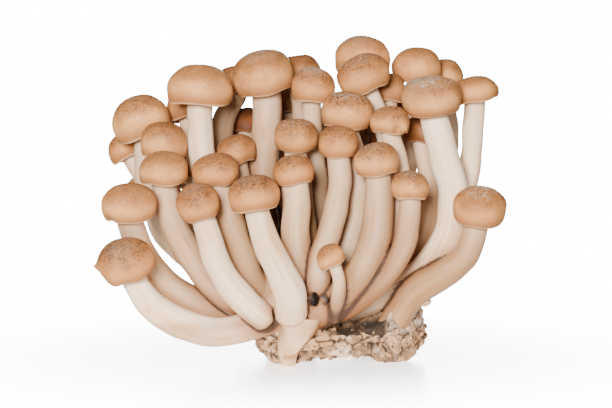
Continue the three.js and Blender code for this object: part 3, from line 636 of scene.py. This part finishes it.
def cap(index):
    """One cap: dome, turned-in lip and gills, all one closed mesh."""
    (radius, height, fullness, widest), lean, stem_radii, route = MUSHROOMS[index]
    gill_edge = RIM_OPEN - RIM_CLOSING * widest - GILL_INSET
    draw = np.random.default_rng(100 + index)
    neck = min(stem_radii[2] + 0.5, radius * (gill_edge - NECK_INSET))
    rows = cap_profile(radius, height, fullness, widest, neck)
    counts = []
    corners = [(0, 0, height, 1.0, 0.0, 0.0, 0.0)]
    for across, level, gilled in rows:
        count = CAP_SIDES * 2 if gilled else CAP_SIDES
        counts.append(count)
        for i in range(count):
            angle = 2 * math.pi * i / count
            swing = 1 + sum(size * math.cos(turns * (angle + index * GOLDEN_ANGLE)) for turns, size in WAVES)
            deep = GILL_DEPTH * (0.5 - 0.5 * math.cos(math.pi * i)) if gilled else 0.0
            corners.append((
                across * swing * math.cos(angle), across * swing * math.sin(angle), level + deep,
                level / height, gilled, i % 2 * gilled, angle))
    corners.append((0, 0, height * CEILING, CEILING, 1.0, 1.0, 0.0))
    corners = np.array(corners)
    local = corners[:, :3]
    rise, under, gill_groove_shade, angles = corners[:, 3:].T
    outward = local * [1, 1, 0.6] - [0, 0, height * 0.15]
    outward /= np.linalg.norm(outward, axis=1)[:, None]
    dome = 1 - under
    local += outward * (dome * (0.2 * ripple(local, 6.5, 200 + index) - 0.05))[:, None]
    edge = np.clip(1 - local[:, 2] / (height * 0.45), 0, 1)
    turns = draw.integers(3, 6)
    local[:, 2] += edge * 0.28 * np.sin(turns * angles + draw.uniform(0, 6.28))
    number = index + 1
    for chosen, angle, share, push, width in CAP_MARKS:
        if chosen == number:
            spot = cap_spot(radius, angle, height * share)
            near = np.exp(-((local - spot) ** 2).sum(axis=1) / width ** 2)
            local += outward * (near * push)[:, None]
    axis = lean_direction(lean)
    turn = np.array(Vector((0, 0, 1)).rotation_difference(Vector(axis)).to_matrix())
    points = local @ turn.T + np.array(route[-1], float)
    flat = np.ones(len(points))
    frost, scorch = flat * 0, flat * 0
    for chosen, angle, share, width, pale, dark in CAP_PATCHES:
        if chosen == number:
            spot = cap_spot(radius * math.sqrt(1 - share ** 2), angle, height * share)
            near = np.exp(-(((local - spot) / width) ** 2).sum(axis=1)) * dome
            frost, scorch = frost + near * pale, scorch + near * dark
    fields = {
        "rise": rise,
        "under": under,
        "gill_groove_shade": gill_groove_shade,
        "tone": flat * draw.uniform(-1, 1),
        "mottling": flat * MOTTLING.get(number, draw.uniform(0.3, 0.8)),
        "marbling": flat * MARBLING.get(number, draw.uniform(0, 0.12)),
        "frost": frost,
        "scorch": scorch,
        "shaded": flat * SHADED.get(number, 0.0),
        "skin": local * METRES + index * 0.05,
    }
    piece = mesh_of(f"beech_cap_{number:02d}", points, skin_faces(counts), "cap_skin", fields)
    dress(piece, "cap_skin", f"cap_{number:02d}")


def geometry_tree(name, inputs):
    """A new geometry node tree, its input sockets as fields, and the identifier of each."""
    group = bpy.data.node_groups.new(name, "GeometryNodeTree")
    identifiers = {}
    for key, kind in {"Geometry": "Geometry", **inputs}.items():
        socket = group.interface.new_socket(key, in_out="INPUT", socket_type=f"NodeSocket{kind}")
        identifiers[key] = socket.identifier
    group.interface.new_socket("Geometry", in_out="OUTPUT", socket_type="NodeSocketGeometry")
    tree = Tree(group)
    entry = group.nodes.new("NodeGroupInput")
    return tree, {key: Field(tree, entry.outputs[key]) for key in identifiers}, identifiers


def end_tree(tree, instances, material):
    """Makes the instances real, gives them the material and hands them out of the tree."""
    real = tree.node("GeometryNodeRealizeInstances", None, {0: instances})
    coat = tree.node("GeometryNodeSetMaterial", None, {"Geometry": real, "Material": MATERIALS[material]})
    result = tree.tree.nodes.new("NodeGroupOutput")
    tree.tree.links.new(coat.socket, result.inputs[0])


def path_tree():
    """Geometry nodes that sweep a round section, as wide as the path says, along each path."""
    tree, asked, identifiers = geometry_tree("round_along_path", {"Sides": "Int"})
    section = tree.node("GeometryNodeCurvePrimitiveCircle", None, {
        "Resolution": asked["Sides"], "Radius": 1.0})
    sweep = tree.node("GeometryNodeCurveToMesh", None, {
        "Curve": asked["Geometry"], "Profile Curve": section, "Fill Caps": True,
        "Scale": tree.node("GeometryNodeInputRadius")})
    end_tree(tree, sweep, "stem_flesh")
    return tree, identifiers


def baked(source):
    """The source object's mesh with its modifiers applied. The source goes."""
    bpy.context.view_layer.update()
    depsgraph = bpy.context.evaluated_depsgraph_get()
    mesh = bpy.data.meshes.new_from_object(source.evaluated_get(depsgraph))
    bpy.data.objects.remove(source)
    return mesh


def baked_nodes(source, tree, identifiers, values):
    """The source object's mesh as the geometry tree turns it out with these input values."""
    modifier = source.modifiers.new(tree.tree.name, "NODES")
    modifier.node_group = tree.tree
    for key, value in values.items():
        modifier[identifiers[key]] = value
    return baked(source)


def stem_lines():
    """Each stem's middle line, and the radii along it, which close its rounded lower end."""
    lines = []
    for (_, height, _, _), lean, radii, route in MUSHROOMS:
        top = np.array(route[-1]) + lean_direction(lean) * height * STEM_RUN_ON
        points = route_points([*route, top.tolist()], STEM_STEPS)
        down = points[0] - points[1]
        down /= np.linalg.norm(down)
        turns = np.linspace(math.pi / 2 * 0.93, 0, END_STEPS, endpoint=False)
        tip = points[0] + np.outer(np.sin(turns) * radii[0] * END_REACH, down)
        widths = np.concatenate([radii[0] * np.cos(turns), between(radii, np.linspace(0, 1, STEM_STEPS))])
        lines.append((np.vstack([tip, points]), widths))
    return lines


def foot_body():
    """The foot's own body, as a closed skin over smooth rings."""
    levels = [level for level, _, _ in FOOT_RINGS]
    knots = np.array([(x, y, level, half_x, half_y) for level, (x, y), (half_x, half_y) in FOOT_RINGS])
    steps = np.linspace(levels[-1], levels[0], FOOT_STEPS)
    rings = np.stack([np.interp(steps, levels, knots[:, column]) for column in range(5)], axis=1)
    for _ in range(6):
        rings[1:-1] = (rings[:-2] + 2 * rings[1:-1] + rings[2:]) / 4
    turns = np.linspace(0, 2 * math.pi, FOOT_SIDES, endpoint=False)
    x = rings[:, None, 0] + rings[:, None, 3] * np.cos(turns)
    y = rings[:, None, 1] + rings[:, None, 4] * np.sin(turns)
    z = np.repeat(rings[:, None, 2], FOOT_SIDES, axis=1)
    skin = np.stack([x, y, z], axis=-1).reshape(-1, 3)
    points = np.vstack([[*rings[0, :2], levels[-1] + 1], skin, [*rings[-1, :2], levels[0] - 1]])
    return points, skin_faces([FOOT_SIDES] * len(rings))


def spur_body():
    """The spur down the front of the foot, whose faces look cut with a knife."""
    line = route_points(SPUR_ROUTE, SPUR_STEPS)
    radii = between(SPUR_RADII, np.linspace(0, 1, SPUR_STEPS))
    turns = np.linspace(0, 2 * math.pi, FOOT_SIDES, endpoint=False)
    rings = []
    for step, (middle, radius) in enumerate(zip(line, radii)):
        turned = turns - SPUR_TWIST * step / SPUR_STEPS
        facet = np.mod(turned, 2 * math.pi / SPUR_FACES) - math.pi / SPUR_FACES
        flat = math.cos(math.pi / SPUR_FACES) / np.cos(facet) * 1.09
        across = radius * (SPUR_SHARPNESS * flat + 1 - SPUR_SHARPNESS)
        rings.append(np.stack([
            middle[0] + across * np.cos(turns), middle[1] + across * np.sin(turns),
            np.full(FOOT_SIDES, max(middle[2], 0.0))], axis=1))
    points = np.vstack([line[:1], *rings, line[-1:]])
    return points, skin_faces([FOOT_SIDES] * SPUR_STEPS)


def swept(lines):
    """A closed round tube along each line, from the geometry nodes, as (points, faces)."""
    curve = bpy.data.curves.new("stem_paths", "CURVE")
    curve.dimensions = "3D"
    for points, radii in lines:
        spline = curve.splines.new("POLY")
        spline.points.add(len(points) - 1)
        for knot, place, radius in zip(spline.points, (points - MIDDLE) * METRES, radii):
            knot.co = (*place, 1)
            knot.radius = radius * METRES
    paths = add_object("stem_paths", curve)
    tubes = baked_nodes(paths, *path_tree(), {"Sides": STEM_SIDES})
    places = points_of(tubes)
    ends = np.cumsum([0] + [len(points) * STEM_SIDES for points, _ in lines])
    faces = [[] for _ in lines]
    for face in tubes.polygons:
        corners = list(face.vertices)
        number = int(np.searchsorted(ends, corners[0], side="right")) - 1
        faces[number].append([corner - int(ends[number]) for corner in corners])
    return [(places[ends[k]:ends[k + 1]], faces[k]) for k in range(len(lines))]


def points_of(mesh):
    places = np.empty(len(mesh.vertices) * 3)
    mesh.vertices.foreach_get("co", places)
    return places.reshape(-1, 3) / METRES + MIDDLE


def faces_of(mesh):
    return [list(face.vertices) for face in mesh.polygons]


def neighbour_mean(values, edges):
    """For each point, the mean of the values at the points that an edge joins it to."""
    total = np.zeros_like(values)
    np.add.at(total, edges[:, 0], values[edges[:, 1]])
    np.add.at(total, edges[:, 1], values[edges[:, 0]])
    return (total.T / np.bincount(edges.ravel(), minlength=len(values))).T


def stems():
    """All the stems, joined with the foot and its spur into one skin."""
    lines = stem_lines()
    parts = [*swept(lines), spur_body()]
    operands = bpy.data.collections.new("tubes")
    bpy.context.scene.collection.children.link(operands)
    for number, (points, faces) in enumerate(parts):
        tube = mesh_of(f"tube_{number}", points, faces, "stem_flesh")
        bpy.context.scene.collection.objects.unlink(tube)
        operands.objects.link(tube)
    whole = mesh_of("foot_body", *foot_body(), "stem_flesh")
    union = whole.modifiers.new("union", "BOOLEAN")
    union.operation = "UNION"
    union.operand_type = "COLLECTION"
    union.collection = operands
    union.solver = "MANIFOLD"
    fused = baked(whole)
    for tube in list(operands.objects):
        bpy.data.objects.remove(tube)
    bpy.data.collections.remove(operands)
    points = points_of(fused)
    edges = np.array([list(edge.vertices) for edge in fused.edges])
    along, fibre, outward, second, owner = nearest_stems(points, lines)
    cream_and_light = np.array([STEM_CREAM_AND_LIGHT.get(number + 1, STEM_CREAM_AND_LIGHT_ELSEWHERE) for number in range(len(lines))])
    tan = 1 - cream_and_light[owner]
    for _ in range(TAN_AND_SHADE_ROUNDS):
        tan = (tan + neighbour_mean(tan, edges)) / 2
    # Tanner on the undersides, which is painted shade, and low at the front
    tan = np.clip(tan + 0.3 * smoothstep(outward[:, 2], -0.2, -0.9), 0, 1)
    tan = np.maximum(tan, 0.6 * smoothstep(points[:, 2], 15, 12) * smoothstep(points[:, 1], -10, -13))
    # Painted shade: dark in the creases between stems, darker where they crowd and deep in the cluster
    crease_shade = smoothstep(second, 1.3, 0.0)
    crowd_shade = smoothstep(second, 5.5, 0.3)
    fades = 66 + 20 * smoothstep(points[:, 1], 1, 11)
    inner_shade = smoothstep(within(points), 0.95, 0.35) * smoothstep(points[:, 2] - fades, 0, -26)
    near = smoothstep(crease_shade, 0.35, 0.9)[:, None]
    for _ in range(CREASE_ROUNDS):
        points += near * CREASE_MELT * (neighbour_mean(points, edges) - points)
    relief = 0.2 * ripple(points, 8.0, 31) + 0.06 * ripple(fibre * 1000 * [1, 1, 3], 2.4, 32)
    # The holes are sunk in and painted with dark shade
    hole_and_shade = np.zeros(len(points))
    for spot, width in HOLES:
        away = np.linalg.norm((points - spot) / width, axis=1)
        hole_and_shade = np.maximum(hole_and_shade, smoothstep(away, 1.0, 0.55) * (points[:, 1] < -10))
    points = points + outward * (relief * (1 - near[:, 0]) - HOLE_DEPTH * hole_and_shade)[:, None]
    points[:, 2] = np.maximum(points[:, 2], 0.0)
    fields = {"along": along, "fibre": fibre, "crease_shade": crease_shade, "crowd_shade": crowd_shade, "inner_shade": inner_shade,
              "hole_and_shade": hole_and_shade, "tan": tan}
    piece = mesh_of("fused_stems", points, faces_of(fused), "stem_flesh", fields)
    dress(piece, "stem_flesh", "stem_cluster")


def nearest_stems(points, lines):
    """For each point: how far along its stem it lies, its place in the stem's own grain, which is
    stretched lengthwise, the way out from the stem's middle line, the gap to the next stem, and its
    own stem's number."""
    best = np.full(len(points), 1e9)
    second = np.full(len(points), 1e9)
    along = np.zeros(len(points))
    fibre = np.zeros((len(points), 3))
    outward = np.zeros((len(points), 3))
    owner = np.zeros(len(points), int)
    for number, (line, widths) in enumerate(lines):
        low, high = line.min(axis=0) - 9, line.max(axis=0) + 9
        near = np.flatnonzero(((points > low) & (points < high)).all(axis=1))
        offsets = points[near, None, :] - line[None, :, :]
        gaps = np.linalg.norm(offsets, axis=2) - widths
        knot = gaps.argmin(axis=1)
        gap = gaps[np.arange(len(near)), knot]
        way = np.gradient(line, axis=0)
        way /= np.linalg.norm(way, axis=1)[:, None]
        side = np.cross(way, [0.0, 1.0, 0.02])
        side /= np.linalg.norm(side, axis=1)[:, None]
        offset = offsets[np.arange(len(near)), knot]
        ahead = (offset * way[knot]).sum(axis=1)
        out = offset - way[knot] * ahead[:, None]
        out /= np.maximum(np.linalg.norm(out, axis=1), 1e-6)[:, None]
        first = gap < best[near]
        second[near] = np.where(first, best[near], np.minimum(second[near], gap))
        chosen = near[first]
        best[chosen] = gap[first]
        along[chosen] = knot[first] / len(line)
        owner[chosen] = number
        outward[chosen] = out[first]
        across = (offset * side[knot]).sum(axis=1)
        third = (offset * np.cross(way, side)[knot]).sum(axis=1)
        run = (knot * np.linalg.norm(line[-1] - line[-2]) + ahead) / 14
        grain = np.stack([across, third, run], axis=1) + number * 31.0
        fibre[chosen] = grain[first] * METRES
    return along, fibre, outward, second, owner


def within(points):
    """How far out each point lies from the cluster's middle, as a share of its reach at that level."""
    level = points[:, 2]
    middle = np.interp(level, [15, 60], [0, 6])
    reach = np.interp(level, [10, 30, 60, 80], [17, 30, 40, 46])
    ahead = np.where(points[:, 1] < middle, np.interp(level, [10, 25, 50, 70], [16, 24, 24, 16]), reach)
    return np.hypot(points[:, 0] / (reach * 1.15), (points[:, 1] - middle) / ahead)


def smoothstep(value, low, high):
    share = np.clip((value - low) / (high - low), 0, 1)
    return share * share * (3 - 2 * share)


def block():
    """The lump of growing medium, broken up by cells and noise at three sizes."""
    noise.seed_set(NOISE_SEED)
    sides, top_rings, wall_rings, low_rings = 250, 34, 26, 30
    shares = np.concatenate([
        np.linspace(0.03, 0.93, top_rings), np.full(wall_rings, 1.0), np.linspace(0.93, 0.03, low_rings)])
    ups = np.concatenate([
        np.ones(top_rings), np.linspace(0.96, 0.04, wall_rings), np.zeros(low_rings)])
    share, angle = np.meshgrid(shares, np.linspace(0, 2 * math.pi, sides, endpoint=False), indexing="ij")
    up = np.repeat(ups[:, None], sides, axis=1)
    wall = (up > 0) & (up < 1)
    bulge = np.where(wall, 0.955 + 0.045 * np.sin(up * math.pi), share)
    outline = 1 + sum(size * np.cos(turns * angle + start) for turns, size, start in BLOCK_WAVES)
    x = BLOCK_MIDDLE[0] + BLOCK_HALF[0] * bulge * outline * np.cos(angle)
    y = BLOCK_MIDDLE[1] + BLOCK_HALF[1] * bulge * outline * np.sin(angle)
    reach = np.min([np.hypot(x - u, y - v) for u, v in FEET], axis=0)
    low = BLOCK_UNDERSIDE * smoothstep(reach, FLAT_REACH, SLOPE_REACH)
    low = low + END_LIFT * smoothstep(x, LIFT_FROM, LIFT_TO)
    top = BLOCK_TOP + BLOCK_RISE * smoothstep(x, RISE_FROM, RISE_TO)
    edge = 1.4 * smoothstep(share, 0.8, 1.0) * ~wall
    z = low * (1 - up) + top * up + edge * np.where(up > 0.5, -1, 0.7)
    skin = np.stack([x, y, z], axis=-1).reshape(-1, 3)
    points = np.vstack([(*BLOCK_MIDDLE, BLOCK_TOP), skin, (*BLOCK_MIDDLE, BLOCK_UNDERSIDE)])
    halves = (*BLOCK_HALF, BLOCK_HALF_HEIGHT)
    outward = (points - [*BLOCK_MIDDLE, BLOCK_HALF_HEIGHT]) / [half ** 2 for half in halves]
    outward /= np.linalg.norm(outward, axis=1)[:, None]
    push, pit_shade_and_dark_crumbs, shade = [], [], []
    for point in points:
        place = Vector(point)
        chunk, chunk_tilt, chunk_tone = flake(place * CHUNKS + CHUNKS_FROM)
        chip, chip_tilt, chip_tone = flake(place * CHIPS)
        grain = noise.fractal(place / 1.3, 0.6, 2.1, 4)
        soft = noise.noise(place / 7.5)
        crack = max(0.0, 1 - chunk * 7)
        seam = max(0.0, 1 - chip * 6)
        push.append(1.1 * soft + 0.3 * grain + 2.2 * chunk_tilt + 1.0 * chip_tilt - 0.9 * crack - 0.25 * seam)
        # Painted shade in the cracks between chunks, the seams between chips and low grain
        pit_shade_and_dark_crumbs.append(crack * 0.8 + seam * 0.3 + max(0.0, -grain - 0.25) * 1.2)
        shade.append(0.5 + 0.5 * chunk_tone + 0.7 * chip_tone)
    push, pit_shade_and_dark_crumbs = np.array(push), np.array(pit_shade_and_dark_crumbs)
    # The slits are sunk and painted with dark shade
    for spot, width in SLITS:
        slit = smoothstep(np.linalg.norm((points - spot) / width, axis=1), 1.0, 0.4) * (points[:, 1] < -8)
        push, pit_shade_and_dark_crumbs = push - 1.5 * slit, np.maximum(pit_shade_and_dark_crumbs, slit)
    # The cavity is sunk and painted with dark shade
    cavity = cavity_at(points)
    points = points + outward * push[:, None] * (1 - cavity)[:, None]
    points[:, 2] -= 3.0 * cavity
    pit_shade_and_dark_crumbs = np.maximum(pit_shade_and_dark_crumbs, cavity * 1.1)
    footed = smoothstep(np.concatenate([[9], reach.ravel(), [9]]), FLAT_REACH + 0.5, FLAT_REACH - 2)
    points[:, 2] = np.maximum(points[:, 2], 0.0)
    points[:, 2] *= 1 - footed * (points[:, 2] < 2.2)
    white = smoothstep(ripple(points, 8.0, 71) + 0.3 * ripple(points, 2.5, 72), 0.4, 0.95) * 0.6
    fringe = smoothstep(points[:, 0], 20, 27) * smoothstep(points[:, 2], 6, 13)
    white = np.maximum(white, fringe * smoothstep(ripple(points, 5.0, 73), -0.6, 0.5) * 0.95)
    fields = {"pit_shade_and_dark_crumbs": np.clip(pit_shade_and_dark_crumbs, 0, 1), "white": white * (1 - cavity), "shade": np.clip(shade, 0, 1)}
    piece = mesh_of("crumbly_medium", points, skin_faces([sides] * len(shares)), "growing_medium", fields)
    crumbs(piece)
    piece.data.shade_flat()
    dress(piece, "growing_medium", "substrate_block")


def cavity_at(points):
    """How deep each point lies in the cavity between the growing medium and the front stems, painted with
    dark shade.
    """
    x, y, z = points.T
    return smoothstep(x, 7, 13) * smoothstep(x, 27, 24) * smoothstep(y, -7, -11) * smoothstep(z, 8.5, 11.5)


def flake(place):
    """For a place among random cells: how far it lies from a border between two, the height there
    of its own cell's tilted face, and that cell's tone. The last two lie about 0."""
    gaps, middles = noise.voronoi(place)
    middle = middles[0]
    tilt = (place - middle).dot(noise.noise_vector(middle * 5.3)) + 0.5 * noise.noise(middle * 4.1)
    return gaps[1] - gaps[0], tilt, noise.noise(middle * 7.7)


def nub():
    """The small round nub at the right end, under the stem there."""
    mesh = bpy.data.meshes.new("nub_source")
    shell = bmesh.new()
    bmesh.ops.create_icosphere(shell, subdivisions=4, radius=NUB_RADIUS)
    shell.to_mesh(mesh)
    shell.free()
    places = np.array([list(corner.co) for corner in mesh.vertices])
    places += places * (0.08 * ripple(places, 2.2, 95))[:, None]
    flat = np.ones(len(places))
    fields = {"pit_shade_and_dark_crumbs": flat * 0, "white": flat * 0.25, "shade": flat * 0.6}
    points = places * [1.15, 1, 0.95] + NUB_MIDDLE
    piece = mesh_of("medium_nub", points, faces_of(mesh), "growing_medium", fields)
    dress(piece, "growing_medium", "substrate_block")


def crumb_tree():
    """Geometry nodes that scatter rough crumbs over a surface and turn them into its mesh."""
    tree, asked, identifiers = geometry_tree(
        "crumbs_on_surface", {"Density": "Float", "Size": "Float", "Seed": "Int"})
    scatter = tree.node("GeometryNodeDistributePointsOnFaces", None, {
        "Mesh": asked["Geometry"], "Density": asked["Density"], "Seed": asked["Seed"]})
    ball = tree.node("GeometryNodeMeshIcoSphere", None, {"Radius": 1.0, "Subdivisions": 1})
    place = tree.node("GeometryNodeInputPosition")
    wobble = tree.node(
        "ShaderNodeTexNoise", None, {"Vector": place, "Scale": 1.7, "Detail": 2.0}, output="Color")
    offset = tree.node("ShaderNodeVectorMath", {"operation": "SUBTRACT"}, {0: wobble, 1: (0.5, 0.5, 0.5)})
    offset = tree.node("ShaderNodeVectorMath", {"operation": "SCALE"}, {0: offset, "Scale": 1.5})
    stone = tree.node("GeometryNodeSetPosition", None, {"Geometry": ball, "Offset": offset})
    turn = tree.node("FunctionNodeRandomValue", {"data_type": "FLOAT_VECTOR"}, {
        0: (0.0, 0.0, 0.0), 1: (6.28, 6.28, 6.28), "Seed": asked["Seed"]})
    spread = tree.node("FunctionNodeRandomValue", {"data_type": "FLOAT_VECTOR"}, {
        0: (0.3, 0.25, 0.1), 1: (1.6, 1.0, 0.4), "Seed": asked["Seed"] + 3})
    size = tree.node("ShaderNodeVectorMath", {"operation": "SCALE"}, {0: spread, "Scale": asked["Size"]})
    stones = tree.node("GeometryNodeInstanceOnPoints", None, {
        "Points": scatter, "Instance": stone, "Rotation": turn, "Scale": size})
    end_tree(tree, stones, "growing_medium")
    return tree, identifiers


def crumbs(block_piece):
    """Loose crumbs stuck all over the growing medium."""
    carrier = block_piece.copy()
    carrier.data = block_piece.data.copy()
    bpy.context.scene.collection.objects.link(carrier)
    mesh = baked_nodes(carrier, *crumb_tree(), {
        "Density": CRUMB_DENSITY, "Size": CRUMB_SIZE * METRES, "Seed": CRUMB_SEED})
    points = points_of(mesh)
    points[:, 2] = np.maximum(points[:, 2], 0.0)
    white = smoothstep(ripple(points, 6.0, 91), 0.6, 1.1) * 0.5
    crumb = np.arange(len(points)) // CRUMB_CORNERS
    draw = np.random.default_rng(91)
    shade = draw.uniform(0, 1, crumb[-1] + 1)[crumb]
    # Some crumbs are dark of their own; those in the cavity get painted shade
    pit_shade_and_dark_crumbs = np.maximum(draw.uniform(-1.2, 0.7, crumb[-1] + 1)[crumb], 1.5 * cavity_at(points)).clip(0, 1)
    fields = {"pit_shade_and_dark_crumbs": pit_shade_and_dark_crumbs, "white": white, "shade": shade}
    piece = mesh_of("loose_crumbs", points, faces_of(mesh), "growing_medium", fields)
    piece.data.shade_flat()
    dress(piece, "growing_medium", "substrate_block")


def floor_fields(tree):
    """The floor fades out at its edge, so no horizon shows."""
    place = tree.node("ShaderNodeTexCoord", output="Object")
    away = tree.node("ShaderNodeVectorMath", {"operation": "LENGTH"}, {0: place}, output=1)
    return {"Alpha": away.step(FLOOR_FADES[1], FLOOR_FADES[0])}


def floor():
    mesh = bpy.data.meshes.new("studio_floor")
    reach = FLOOR_FADES[1]
    corners = [(-reach, -reach, 0), (reach, -reach, 0), (reach, reach, 0), (-reach, reach, 0)]
    mesh.from_pydata(corners, [], [(0, 1, 2, 3)])
    mesh.materials.append(finish("studio_white", {
        "Base Color": (0.94, 0.94, 0.95, 1), "Roughness": 0.22, "Specular IOR Level": 0.5,
        "Emission Color": (1, 1, 1, 1), "Emission Strength": 1.8}, floor_fields))
    plane = add_object("studio_floor", mesh)


def light(name, place, size, power, tint=(1, 1, 1)):
    lamp = bpy.data.lights.new(name, "AREA")
    lamp.shape = "DISK"
    lamp.size = size
    lamp.energy = power
    lamp.color = tint
    holder = add_object(name, lamp)
    holder.location = place
    holder.rotation_euler = (Vector(LIT_PLACE) - Vector(place)).to_track_quat("-Z", "Y").to_euler()


def studio():
    """A white cove: bright behind, softer above and in front, with a large soft key by the camera."""
    world = bpy.data.worlds.new("studio")
    world.use_nodes = True
    backdrop = world.node_tree.nodes["Background"]
    backdrop.inputs["Color"].default_value = (1, 1, 1, 1)
    tree = Tree(world.node_tree)
    way = tree.node("ShaderNodeTexCoord", output="Generated")
    depth = tree.node("ShaderNodeSeparateXYZ", None, {0: way}, output=1)
    strength = depth.step(0.945, 0.972) * 17.0 + 0.15
    world.node_tree.links.new(strength.socket, backdrop.inputs["Strength"])
    bpy.context.scene.world = world
    light("key", (-0.17, -0.92, 0.25), 0.3, 32.0, (1.0, 0.99, 0.975))
    light("fill", (0.6, -0.7, 0.15), 0.4, 2.5)
    light("top", (0.0, 0.1, 0.9), 0.6, 1.0)


def camera():
    """The photograph's viewpoint: a long lens a little above the cluster's middle."""
    photo_width, pixel = 612, 0.3
    distance, elevation = 650.0, math.radians(4)
    aim = np.array([1.8, 0, 46.2]) - MIDDLE
    back = np.array([0, -math.cos(elevation), math.sin(elevation)])
    lens = bpy.data.cameras.new("camera")
    lens.sensor_width = 36.0
    lens.lens = lens.sensor_width * distance / (photo_width * pixel)
    lens.clip_start, lens.clip_end = 0.01, 20
    viewer = add_object("camera", lens)
    viewer.location = (aim + back * distance) * METRES
    viewer.rotation_euler = Vector(-back).to_track_quat("-Z", "Y").to_euler()
    bpy.context.scene.camera = viewer


camera()
studio()
floor()
for number in range(len(MUSHROOMS)):
    cap(number)
stems()
block()
nub()
